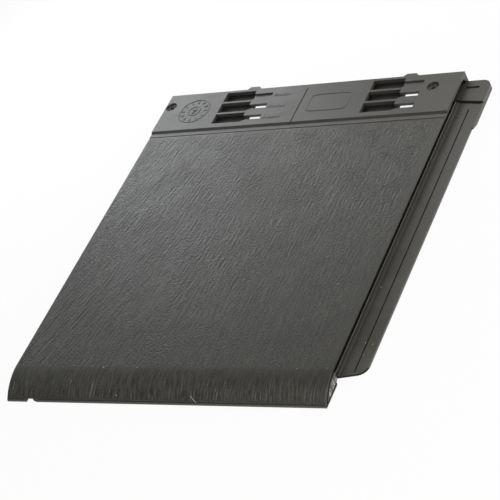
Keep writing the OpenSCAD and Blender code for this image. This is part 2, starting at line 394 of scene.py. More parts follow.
@dataclass(frozen=True)
class DustFinish(Finish):
    """Pale grey dust and whitened plastic."""

    pale: Colour = (0.52, 0.50, 0.47, 1.0)
    worn: Colour = (0.30, 0.29, 0.27, 1.0)
    rough: float = 0.70
    grit_rough: float = 0.25

    GRIT = Pattern(2400.0, 3.0, 0.6)
    GRIT_SPAN = (0.35, 0.65)

    def shader(self, recipe: Recipe) -> Wire:
        """Build the dust's shader.

        Args:
            recipe: The material's node tree.

        Returns:
            The shader.
        """
        grit = recipe.noise(self.GRIT)
        colour = recipe.mix(grit.step(*self.GRIT_SPAN), self.worn, self.pale)
        rough = self.rough + self.grit_rough * grit
        return recipe.node(PRINCIPLED, None, {"Base Color": colour, "Roughness": rough})


@dataclass(frozen=True)
class ShadeFinish(Finish):
    """Matt plastic of one tone in random patches, as painted shade and painted highlight.

    Darker sheets stand where shade falls on mould-side edges, in a groove and on a slope; a pale
    sheet marks where the top of a rib catches light.
    """

    tone: float
    patchy: float = 1.0
    rough: float = 0.62
    rough_drift: float = 0.2
    gloss: float = 0.15
    depth: float = 0.00004

    TINT = (1.0, 0.97, 0.88)
    DEEP = -0.30
    PALE = 0.60
    PATCHES = Pattern(420.0, 4.0, 0.6)
    PATCH_SPAN = (0.30, 0.75)

    def _colour(self, change: float) -> Colour:
        """The tinted tone, made deeper or paler by a share of its patchiness."""
        level = self.tone * (1 + change * self.patchy)
        return (*(level * part for part in self.TINT), 1.0)

    def shader(self, recipe: Recipe) -> Wire:
        """Build the shade's shader.

        Args:
            recipe: The material's node tree.

        Returns:
            The shader.
        """
        # random patches in the painted tone of the sheet
        painted_shade = recipe.noise(self.PATCHES)
        patches = painted_shade.step(*self.PATCH_SPAN)
        inputs = {
            "Base Color": recipe.mix(patches, self._colour(self.DEEP), self._colour(self.PALE)),
            "Roughness": self.rough + self.rough_drift * (painted_shade - NOISE_MEAN),
            "Specular IOR Level": self.gloss,
            "Normal": recipe.bump(painted_shade, self.depth),
        }
        return recipe.node(PRINCIPLED, None, inputs)


@dataclass(frozen=True)
class ScuffFinish(Finish):
    """Torn and scuffed plastic: pale whitened strokes on the dark ground colour."""

    ground: Colour = (0.080, 0.0730, 0.0680, 1.0)
    pale: Colour = (0.560, 0.525, 0.500, 1.0)
    rough: float = 0.66
    rough_drift: float = 0.25
    depth: float = 0.00025

    STROKES = Pattern(560.0, 3.0, 0.6, stretch=(1.0, 1.0, 0.22), turn=(0.7, 0.0, 0.0))
    STROKE_SPAN = (0.40, 0.62)
    BLOTCHES = Pattern(330.0, 3.0, 0.6)
    BLOTCH_SPAN = (0.34, 0.60)

    def shader(self, recipe: Recipe) -> Wire:
        """Build the scuffs' shader.

        Args:
            recipe: The material's node tree.

        Returns:
            The shader.
        """
        strokes, blotches = recipe.noise(self.STROKES), recipe.noise(self.BLOTCHES)
        worn = strokes.step(*self.STROKE_SPAN) * blotches.step(*self.BLOTCH_SPAN)
        inputs = {
            "Base Color": recipe.mix(worn, self.ground, self.pale),
            "Roughness": self.rough + self.rough_drift * (blotches - NOISE_MEAN),
            "IOR": PLASTIC_IOR,
            "Normal": recipe.bump(strokes, self.depth),
        }
        return recipe.node(PRINCIPLED, None, inputs)


@dataclass(frozen=True)
class FloorFinish(Finish):
    """A white sweep: mostly bright to the camera and to gloss, with a share that takes shadow."""

    bright_share: float = 0.94
    paint: Colour = (0.86, 0.86, 0.86, 1.0)
    pale_paint: Colour = (0.88, 0.88, 0.88, 1.0)

    PAPER = Pattern(300.0)

    def shader(self, recipe: Recipe) -> Wire:
        """Build the floor's shader.

        Args:
            recipe: The material's node tree.

        Returns:
            The shader.
        """
        seen = recipe.node("ShaderNodeLightPath", out="Is Camera Ray")
        for ray in ("Is Glossy Ray", "Is Transmission Ray"):
            seen = seen.at_least(recipe.node("ShaderNodeLightPath", out=ray))
        paint = recipe.mix(recipe.noise(self.PAPER), self.paint, self.pale_paint)
        matt = recipe.node("ShaderNodeBsdfDiffuse", None, {"Color": paint})
        glow = recipe.node("ShaderNodeEmission", None, {"Color": WHITE})
        share = self.bright_share * seen
        return recipe.node("ShaderNodeMixShader", None, {0: share, 1: matt, 2: glow})


@dataclass(frozen=True)
class LatticeNoise:
    """Gradient noise on a seeded lattice with its own cell size along x and y, in millimetres."""

    seed: int
    cell_x: float
    cell_y: float

    LATTICE = 256
    SPREAD = 0.27

    def __call__(self, x: np.ndarray, y: np.ndarray) -> np.ndarray:
        """Evaluate the noise.

        Each lattice corner holds a unit direction; a point's value is the quintic blend of the
        four corners' directions times its offsets, divided by its usual spread.

        Args:
            x: Places across, in millimetres.
            y: Places along, in millimetres.

        Returns:
            Values of about unit spread around 0.
        """
        turn = np.random.default_rng(self.seed).random((self.LATTICE, self.LATTICE)) * math.tau
        u, v = x / self.cell_x, y / self.cell_y
        column, row = np.floor(u).astype(int), np.floor(v).astype(int)
        u, v = u - column, v - row

        def corner(dx: int, dy: int) -> np.ndarray:
            """Direction of one corner times the offset from it."""
            angle = turn[(row + dy) % self.LATTICE, (column + dx) % self.LATTICE]
            return np.cos(angle) * (u - dx) + np.sin(angle) * (v - dy)

        ease_u = u**3 * (u * (6 * u - 15) + 10)
        ease_v = v**3 * (v * (6 * v - 15) + 10)
        low = corner(0, 0) * (1 - ease_u) + corner(1, 0) * ease_u
        high = corner(0, 1) * (1 - ease_u) + corner(1, 1) * ease_u
        return (low * (1 - ease_v) + high * ease_v) / self.SPREAD


def part(least: float, share: Any) -> Any:
    """A factor that goes from least at a share of 0 to 1 at a share of 1."""
    return least + (1 - least) * share


def smooth(value: np.ndarray, low: float, high: float) -> np.ndarray:
    """Cubic step from 0 at low to 1 at high, whichever is larger."""
    share = np.clip((value - low) / (high - low), 0.0, 1.0)
    return share * share * (3 - 2 * share)


@dataclass
class Shell:
    """Points in millimetres in the tile's frame, with quads and triangles between them."""

    points: np.ndarray
    quads: np.ndarray
    triangles: np.ndarray

    BEAD_SIDES = 10
    BEAD_TIP = 0.6
    BEAD_TAPER = 3.0

    @classmethod
    def grid(cls, points: np.ndarray, wrap: bool = False, caps: bool = False) -> "Shell":
        """Join a grid of points.

        Quads run between neighbouring rows and columns. The columns may close on themselves,
        and the first and last rows may be closed by a fan to the row's middle.

        Args:
            points: Array of rows, columns and x, y, z.
            wrap: Whether the last column joins the first.
            caps: Whether the end rows are closed.

        Returns:
            The surface.
        """
        rows, columns, _ = points.shape
        number = np.arange(rows * columns).reshape(rows, columns)
        if wrap:
            number = np.concatenate([number, number[:, :1]], axis=1)
        quads = np.stack(
            [number[:-1, :-1], number[:-1, 1:], number[1:, 1:], number[1:, :-1]], axis=-1
        ).reshape(-1, 4)
        flat = points.reshape(-1, 3)
        triangles = np.zeros((0, 3), int)
        if caps:
            first, last = rows * columns, rows * columns + 1
            flat = np.concatenate([flat, points[[0, -1]].mean(axis=1)])
            low = np.stack([number[0, 1:], number[0, :-1], np.full(columns, first)], axis=-1)
            high = np.stack([number[-1, :-1], number[-1, 1:], np.full(columns, last)], axis=-1)
            triangles = np.concatenate([low, high])
        return cls(flat, quads, triangles)

    @classmethod
    def sheet(cls, x: np.ndarray, y: np.ndarray, z: np.ndarray) -> "Shell":
        """The grid of points whose x, y and z are given, each drawn out to the widest of them."""
        return cls.grid(np.stack(np.broadcast_arrays(x, y, z), axis=-1))

    @classmethod
    def bead(
        cls,
        path: np.ndarray,
        across: np.ndarray,
        up: np.ndarray,
        section: Spot,
        closed: bool = False,
    ) -> "Shell":
        """A low half-round bead that lies on a surface.

        The section at each point of the path is an ellipse: half the width times the cosine along
        the direction across, and the rise times the sine upwards or the sink downwards. An open
        bead thins out over its first and last few points.

        Args:
            path: Points in order.
            across: Unit directions to the right of the path, in the surface.
            up: Unit normals of the surface.
            section: Width, rise above the surface and sink below it.
            closed: Whether the path ends where it starts.

        Returns:
            The closed bead.
        """
        width, rise, sink = section
        turn = -np.linspace(0.0, math.tau, cls.BEAD_SIDES, endpoint=False)
        out = 0.5 * width * np.cos(turn)
        lift = np.where(np.sin(turn) > 0, rise, sink) * np.sin(turn)
        count = len(path)
        number = np.arange(count)
        from_end = np.minimum(number, count - 1 - number)
        thin = np.clip((from_end + cls.BEAD_TIP) / cls.BEAD_TAPER, 0.0, 1.0)
        size = np.ones(count) if closed else np.sqrt(thin)
        points = (
            path[:, None, :]
            + across[:, None, :] * (size[:, None] * out)[..., None]
            + up[:, None, :] * (size[:, None] * lift)[..., None]
        )
        if not closed:
            return cls.grid(points, wrap=True, caps=True)
        shell = cls.grid(np.concatenate([points, points[:1]]), wrap=True)
        last = count * len(turn)
        return cls(shell.points[:last], shell.quads % last, shell.triangles)

    @classmethod
    def joined(cls, shells: Iterable["Shell"]) -> "Shell":
        """Put several surfaces into one, each kept apart.

        Args:
            shells: The surfaces.

        Returns:
            All of them as one.
        """
        listed = list(shells)
        starts = np.cumsum([0] + [len(shell.points) for shell in listed[:-1]])
        return cls(
            np.concatenate([shell.points for shell in listed]),
            np.concatenate([shell.quads + at for shell, at in zip(listed, starts)]),
            np.concatenate([shell.triangles + at for shell, at in zip(listed, starts)]),
        )

    def piece(self, name: str, material: bpy.types.Material) -> bpy.types.Object:
        """Make a smooth-shaded piece that rides with the tile.

        Args:
            name: The piece's name.
            material: Its finish.

        Returns:
            The new object, at the origin.
        """
        mesh = bpy.data.meshes.new(name)
        places = (self.points + TILE_TO_PART) * MM
        mesh.from_pydata(places.tolist(), [], self.quads.tolist() + self.triangles.tolist())
        mesh.polygons.foreach_set("use_smooth", np.ones(len(mesh.polygons), bool))
        mesh.materials.append(material)
        mesh.update()
        made = bpy.data.objects.new(name, mesh)
        bpy.context.scene.collection.objects.link(made)
        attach(made, BODY)
        log.info("piece %s: %d points, %d faces", name, len(mesh.vertices), len(mesh.polygons))
        return made


@dataclass(frozen=True)
class FaceForm:
    """The smooth weather face that the grain lies on: a level panel that rolls down to the nose.

    A place on it is given by x and a run s, which is y on the panel and the arc length measured
    on from there over the nose.
    """

    half_width: float = 156.0
    height: float = 12.8
    nose_run: float = 30.0
    nose_radius: float = 45.4677
    head_y: float = 321.0

    DOME_TILTS = (-0.6, 0.2, 0.7, 1.2)

    def _turn(self, run: np.ndarray) -> np.ndarray:
        """How far the face has rolled down at a run, in radians."""
        return np.clip(self.nose_run - run, 0.0, None) / self.nose_radius

    def lift(self, x: np.ndarray, run: np.ndarray, rise: np.ndarray) -> np.ndarray:
        """Points at a height above the face.

        On the nose the turn is the run before the roll divided by the radius; y and z follow the
        sine and cosine of the turn, and the rise goes out along the face's normal.

        Args:
            x: Places across.
            run: Runs along the face.
            rise: Heights above it.

        Returns:
            Points, with x, y, z last.
        """
        turn = self._turn(run)
        reach = self.nose_radius + rise
        past = np.clip(run - self.nose_run, 0.0, None)
        y = self.nose_run + past - reach * np.sin(turn)
        z = self.height - self.nose_radius + reach * np.cos(turn)
        return np.stack([x, y, z], axis=-1)

    def bead(self, x: np.ndarray, run: np.ndarray, rise: np.ndarray, section: Spot) -> Shell:
        """A bead along a line on the face.

        The direction across is the line's own normal in x and run, turned into space by the
        face's slope at each run.

        Args:
            x: Places across.
            run: Runs along the face.
            rise: Heights above it.
            section: The bead's width, rise and sink.

        Returns:
            The bead.
        """
        turn = self._turn(run)
        nought = np.zeros_like(turn)
        ahead = np.stack([nought, np.cos(turn), np.sin(turn)], axis=-1)
        up = np.stack([nought, -np.sin(turn), np.cos(turn)], axis=-1)
        slope = np.stack([np.gradient(x), np.gradient(run)], axis=-1)
        slope /= np.linalg.norm(slope, axis=1, keepdims=True)
        across = slope[:, 1:] * np.array([1.0, 0.0, 0.0]) - slope[:, :1] * ahead
        return Shell.bead(self.lift(x, run, rise), across, up, section)

    def dome(self, x: float, run: float, rise: float, wobble: np.ndarray, height: float) -> Shell:
        """A small uneven dome on the face.

        Rings shrink towards the middle by the cosine while they rise by the sine of the same
        angle, and each direction has its own radius.

        Args:
            x: Place across.
            run: Run along the face.
            rise: Height of its foot above the face.
            wobble: Radius in each direction.
            height: Height of its top above its foot.

        Returns:
            The closed dome.
        """
        turn = np.linspace(0.0, math.tau, len(wobble), endpoint=False)
        tilt = np.array(self.DOME_TILTS)[:, None]
        reach = np.cos(tilt) * wobble
        points = self.lift(
            x + reach * np.cos(turn),
            run + reach * np.sin(turn),
            rise + height * np.sin(tilt) + 0.0 * reach,
        )
        return Shell.grid(points, wrap=True, caps=True)

    def run_at(self, y: np.ndarray) -> np.ndarray:
        """The run of a place y on the face."""
        turn = np.arcsin(np.clip(self.nose_run - y, 0.0, None) / self.nose_radius)
        return np.maximum(y, self.nose_run) - self.nose_radius * turn

    def nose_tip_run(self) -> float:
        """The run at which the nose reaches y = 0."""
        return self.nose_run - self.nose_radius * math.asin(self.nose_run / self.nose_radius)


@dataclass(frozen=True)
class Zone:
    """A part of the face with soft borders, full past the second value of both spans."""

    strength: float
    across: Span
    along: Span

    def __call__(self, x: np.ndarray, run: np.ndarray) -> np.ndarray:
        """The strength at each place: the zone's own times its two smooth steps."""
        return self.strength * (smooth(x, *self.across) * smooth(run, *self.along))


@dataclass(frozen=True)
class SlateRelief:
    """Height of the moulded slate grain over the smooth weather face.

    Long streaks follow a lean that fades from the left edge to the middle, wander a little, break
    up along their length, and give way in patches to cross ripples like a pebbled skin. Wide
    swells lie under both. Towards the foot of the panel the grain is bolder at the left and
    fainter in the middle and at the right. On the nose the streaks are closer and deeper.
    """

    streak: float = 0.072
    fine: float = 0.062
    ripple: float = 0.118
    swell: float = 0.012
    pitch: float = 4.0
    nose_pitch: float = 1.9
    nose_gain: float = 1.36
    base: float = 0.22
    sunk: float = -0.06
    lean: float = 0.24
    lean_across: Span = (-156.0, 60.0)
    lean_middle: float = 160.0
    lean_end: float = 24.0
    lean_past_end: float = 0.3
    slow_wander: float = 0.9
    quick_wander: float = 0.16
    ridge_edge: float = 1.4
    cut_power: float = 2.4
    comb_share: float = 0.68
    ridged: float = 0.45
    ridged_across: Span = (-30.0, -130.0)
    pebbled: float = 0.60
    pebbled_across: Span = (-120.0, 20.0)
    pebbled_along: Span = (120.0, 50.0)
    patch_span: Span = (0.0, 1.6)
    patch_streaks: float = 0.35
    plain_ripple: float = 0.60
    left_ripple: float = 0.70
    left_ripple_across: Span = (-140.0, -20.0)
    low_ripple: float = 0.7
    unbroken: float = 0.62
    break_span: Span = (-1.0, 0.8)
    low_gain: float = 0.90
    upper_gain: float = 0.45
    upper_along: Span = (60.0, 240.0)
    roll: float = 0.60
    roll_foot: Span = (17.0, 23.0)
    nose_ripple: float = 0.3
    nose_swell: float = 0.4
    nose_from: float = 1.0
    nose_full: float = -9.0
    roll_full: float = -2.0

    FAINT = Zone(0.30, (10.0, 110.0), (260.0, 90.0))
    BOLD = Zone(0.35, (-20.0, -120.0), (160.0, 60.0))
    WORN = Zone(0.28, (-110.0, -10.0), (140.0, 60.0))
    SLOW_WANDER = LatticeNoise(11, 30.0, 55.0)
    QUICK_WANDER = LatticeNoise(12, 7.0, 12.0)
    BROAD = LatticeNoise(21, 1.9, 34.0)
    NARROW = LatticeNoise(23, 1.3, 10.0)
    PEBBLES = LatticeNoise(31, 1.6, 1.6)
    CROSS_PEBBLES = LatticeNoise(32, 2.2, 1.5)
    CROSS_SHARE = 0.6
    LONG_SWELL = LatticeNoise(41, 12.0, 42.0)
    WIDE_SWELL = LatticeNoise(42, 30.0, 36.0)
    WIDE_PATCH = LatticeNoise(51, 30.0, 24.0)
    SMALL_PATCH = LatticeNoise(52, 12.0, 13.0)
    SMALL_SHARE = 0.5
    BREAKS = LatticeNoise(53, 5.0, 17.0)
    PANEL_COMB_SEED = 22
    NOSE_COMB_SEED = 26
    SLOW_DRIFT = 0.22
    SLOW_DRIFT_CELL = (2.2, 50.0)
    QUICK_DRIFT = 0.10
    QUICK_DRIFT_CELL = (1.0, 19.0)

    def height(self, x: np.ndarray, run: np.ndarray, face: FaceForm) -> np.ndarray:
        """Relief above the smooth face, without its borders.

        It is the sum of streaks, ripples and swells. Streaks are weaker in the pebbled patches,
        where the ripples are stronger, and their sum is scaled by the zones of the panel, by the
        distance from the nose and by the roll between panel and nose.

        Args:
            x: Places across.
            run: Runs along the face.
            face: The smooth face.

        Returns:
            Heights in millimetres, around 0.
        """
        along = self._along(x, run)
        nose_from = face.nose_run + self.nose_from
        on_nose = smooth(run, nose_from, face.nose_run + self.nose_full)
        panel = 1 - on_nose
        upper = smooth(run, *self.upper_along) + on_nose
        patch = self._patches(x, run) * panel
        streaks = self._streaks(x, along, run, on_nose) * (1 - self.patch_streaks * patch)
        streaks = streaks * (1 - self.WORN(x, run) * panel)
        pebble = self.PEBBLES(along, run) + self.CROSS_SHARE * self.CROSS_PEBBLES(x, run)
        ripples = self.ripple * pebble * part(self.plain_ripple, patch)
        ripples = ripples * part(self.low_ripple, upper) * part(self.nose_ripple, panel)
        ripples = ripples * part(self.left_ripple, smooth(x, *self.left_ripple_across))
        swells = self.LONG_SWELL(along, run) + self.WIDE_SWELL(x, run)
        swells = self.swell * swells * part(self.nose_swell, panel)
        roll = smooth(run, nose_from, face.nose_run + self.roll_full)
        roll = roll * smooth(run, *self.roll_foot)
        zones = 1 - self.FAINT(x, run) + self.BOLD(x, run) * panel
        gain = (self.low_gain + self.upper_gain * upper) * zones * (1 - self.roll * roll)
        return gain * (streaks + ripples + swells)

    def _along(self, x: np.ndarray, run: np.ndarray) -> np.ndarray:
        """The streak coordinate: x less the lean times the run, plus a slow and a quick wander.

        Args:
            x: Places across.
            run: Runs along the face.

        Returns:
            Places across the streaks.
        """
        lean = self.lean * (1 - smooth(x, *self.lean_across))
        past_end = np.minimum(run - self.lean_end, 0.0)
        straight = np.maximum(run, self.lean_end) + self.lean_past_end * past_end
        along = x - lean * (straight - self.lean_middle)
        along = along + self.slow_wander * self.SLOW_WANDER(x, run)
        return along + self.quick_wander * self.QUICK_WANDER(x, run)

    def _patches(self, x: np.ndarray, run: np.ndarray) -> np.ndarray:
        """Where the skin is pebbled: clouds of noise, more of them at the right and the foot.

        Args:
            x: Places across.
            run: Runs along the face.

        Returns:
            Shares from 0, streaked, to 1, pebbled.
        """
        clouds = self.WIDE_PATCH(x, run) + self.SMALL_SHARE * self.SMALL_PATCH(x, run)
        right, foot = smooth(x, *self.pebbled_across), smooth(run, *self.pebbled_along)
        return smooth(clouds + self.pebbled * (right + foot - 1.0), *self.patch_span)

    def _streaks(
        self, x: np.ndarray, along: np.ndarray, run: np.ndarray, on_nose: np.ndarray
    ) -> np.ndarray:
        """Streaks: combs of ridges plus noise with long cells, broken along their length.

        The panel's comb has flattened tops and the nose's has narrow cuts.

        Args:
            x: Places across.
            along: The streak coordinate.
            run: Runs along the face.
            on_nose: Shares from 0 on the panel to 1 on the nose.

        Returns:
            Heights in millimetres, around 0.
        """
        ridges = self._comb(along, run, self.pitch, self.PANEL_COMB_SEED)
        cuts = self._comb(along, run, self.nose_pitch, self.NOSE_COMB_SEED)
        comb = np.tanh(self.ridge_edge * ridges) * (1 - on_nose)
        comb = comb + (1 - 2 * (0.5 - 0.5 * cuts) ** self.cut_power) * on_nose
        coarse = self.comb_share * comb + (1 - self.comb_share) * self.BROAD(along, run)
        coarse = coarse * (1 + self.ridged * smooth(x, *self.ridged_across) * (1 - on_nose))
        whole = smooth(self.BREAKS(along, run), *self.break_span)
        strength = part(self.unbroken, whole) * part(self.nose_gain, 1 - on_nose)
        return strength * (self.streak * coarse + self.fine * self.NARROW(along, run))

    def _comb(self, along: np.ndarray, run: np.ndarray, pitch: float, seed: int) -> np.ndarray:
        """Ridges: a sine across the streaks whose phase wanders by noise.

        Args:
            along: The streak coordinate.
            run: Runs along the face.
            pitch: Mean distance between ridges.
            seed: Seed of the wander.

        Returns:
            Values from -1 to 1.
        """
        slow_x, slow_y = self.SLOW_DRIFT_CELL
        quick_x, quick_y = self.QUICK_DRIFT_CELL
        drift = self.SLOW_DRIFT * LatticeNoise(seed, slow_x * pitch, slow_y)(along, run)
        quick = LatticeNoise(seed + 1, quick_x * pitch, quick_y)(along, run)
        return np.sin(math.tau * (along / pitch + drift + self.QUICK_DRIFT * quick))


class Border(Enum):
    """The sides of a grain skin, in the order of their fade widths."""

    LEFT = 0
    RIGHT = 1
    NOSE = 2
    HEAD = 3


@dataclass(frozen=True)
class GrainSkin:
    """One moulded grain surface laid on the weather face between two runs."""

    name: str
    first_run: float
    last_run: float
    step_x: float
    step_run: float
    fades: Tuple[float, float, float, float]
    left: float = -155.95
    right: float = 155.9
    right_calm: float = 0.25
    right_margin: Span = (2.0, 11.0)
    head_calm: float = 0.35
    head_margin: Span = (2.0, 8.0)

    MAP_EDGE = 0.004

    def build(
        self, face: FaceForm, relief: SlateRelief, material: bpy.types.Material
    ) -> bpy.types.Object:
        """Make the skin.

        The rise at a grid point is the relief plus a base height, times the fades at the four
        borders, less a small sink where a fade reaches 0, so that each border slips under the
        smooth face. A fade of 0 leaves that border as it is, to join the next skin. The grid is
        worked out one step wider all round, so that normals agree where two skins join.

        Args:
            face: The smooth face below.
            relief: The grain.
            material: Its finish.

        Returns:
            The new piece.
        """
        columns = round((self.right - self.left) / self.step_x) + 1
        rows = round((self.last_run - self.first_run) / self.step_run) + 1
        across = np.linspace(self.left, self.right, columns)
        along = np.linspace(self.first_run, self.last_run, rows)
        step_x, step_run = across[1] - across[0], along[1] - along[0]
        run, x = np.meshgrid(
            np.concatenate([[along[0] - step_run], along, [along[-1] + step_run]]),
            np.concatenate([[across[0] - step_x], across, [across[-1] + step_x]]),
            indexing="ij",
        )
        fade = self._fade(x, run)
        grain = self._calm(x, run, face) * relief.height(x, run, face)
        points = face.lift(x, run, (relief.base + grain) * fade + relief.sunk * (1 - fade))
        inner = (slice(1, -1), slice(1, -1))
        made = Shell.grid(points[inner]).piece(self.name, material)
        made.data.normals_split_custom_set_from_vertices(self._normals(points))
        tall = smooth(grain, -relief.streak, relief.streak)
        layer = made.data.attributes.new(RELIEF, "FLOAT", "POINT")
        layer.data.foreach_set("value", (tall * fade)[inner].astype(np.float32).ravel())
        self._unwrap(made.data, rows, columns)
        return made

    @staticmethod
    def _normals(points: np.ndarray) -> np.ndarray:
        """Unit normals of the inner points: the cross of the slopes across and along.

        Args:
            points: Grid of points, one step wider all round.

        Returns:
            The normals, one row for each inner point.
        """
        across = points[1:-1, 2:] - points[1:-1, :-2]
        along = points[2:, 1:-1] - points[:-2, 1:-1]
        normal = np.cross(across, along).reshape(-1, 3)
        return normal / np.linalg.norm(normal, axis=1, keepdims=True)

    def _fade(self, x: np.ndarray, run: np.ndarray) -> np.ndarray:
        """Product of the smooth steps in from the borders that fade.

        Args:
            x: Places across.
            run: Runs along the face.

        Returns:
            Shares from 0 at a border to 1 inside.
        """
        inwards = {
            Border.LEFT: x - self.left,
            Border.RIGHT: self.right - x,
            Border.NOSE: run - self.first_run,
            Border.HEAD: self.last_run - run,
        }
        widths = {side: self.fades[side.value] for side in Border}
        steps = [smooth(inwards[side], 0.0, width) for side, width in widths.items() if width > 0]
        return np.prod(steps, axis=0)

    def _calm(self, x: np.ndarray, run: np.ndarray, face: FaceForm) -> np.ndarray:
        """Share of the grain that stays: less in a plain margin at the right and at the head.

        Args:
            x: Places across.
            run: Runs along the face.
            face: The smooth face.

        Returns:
            Shares from 0 to 1.
        """
        right = smooth(self.right - x, *self.right_margin)
        head = smooth(face.head_y - run, *self.head_margin)
        return part(self.right_calm, right) * part(self.head_calm, head)

    def _unwrap(self, mesh: bpy.types.Mesh, rows: int, columns: int) -> None:
        """Give the mesh a map that follows its grid, column by row.

        Args:
            mesh: The skin's mesh.
            rows: Its rows of points.
            columns: Its columns of points.
        """
        corner = np.zeros(len(mesh.loops), np.int32)
        mesh.loops.foreach_get("vertex_index", corner)
        row, column = np.divmod(corner, columns)
        at = np.stack([column / (columns - 1), row / (rows - 1)], axis=-1)
        at = self.MAP_EDGE + (1 - 2 * self.MAP_EDGE) * at
        layer = mesh.uv_layers.new(name=BAKE_MAP)
        layer.uv.foreach_set("vector", at.astype(np.float32).ravel())


@dataclass(frozen=True)
class WeatherFace:
    """The grained panel and nose of the tile."""

    form: FaceForm = FaceForm()
    relief: SlateRelief = SlateRelief()
    joins: Tuple[float, ...] = (29.0, 126.0, 223.0)
    step_x: float = 0.55
    step_panel: float = 0.65
    step_nose: float = 0.55
    tip_gap: float = 2.15
    head_gap: float = 0.05
    side_fade: float = 1.6
    tip_fade: float = 1.2
    head_fade: float = 1.4
    rough: float = 0.42

    def build(self) -> Pieces:
        """Lay the grain skins one after another from the nose to the head.

        Returns:
            The pieces of the nose and of the panel.
        """
        finish = PlasticFinish("slate_grain_plastic", Moulding.GRAIN, rough=self.rough)
        grain = finish.material()
        tip = self.form.nose_tip_run() + self.tip_gap
        ends = (tip, *self.joins, self.form.head_y - self.head_gap)
        last = len(ends) - 2
        made = []
        for number, (first_run, last_run) in enumerate(zip(ends, ends[1:])):
            fades = (
                self.side_fade,
                self.side_fade,
                self.tip_fade if number == 0 else 0.0,
                self.head_fade if number == last else 0.0,
            )
            name = f"panel_grain_{number}" if number else "nose_grain"
            step_run = self.step_panel if number else self.step_nose
            skin = GrainSkin(name, first_run, last_run, self.step_x, step_run, fades)
            made.append(skin.build(self.form, self.relief, grain))
        return made


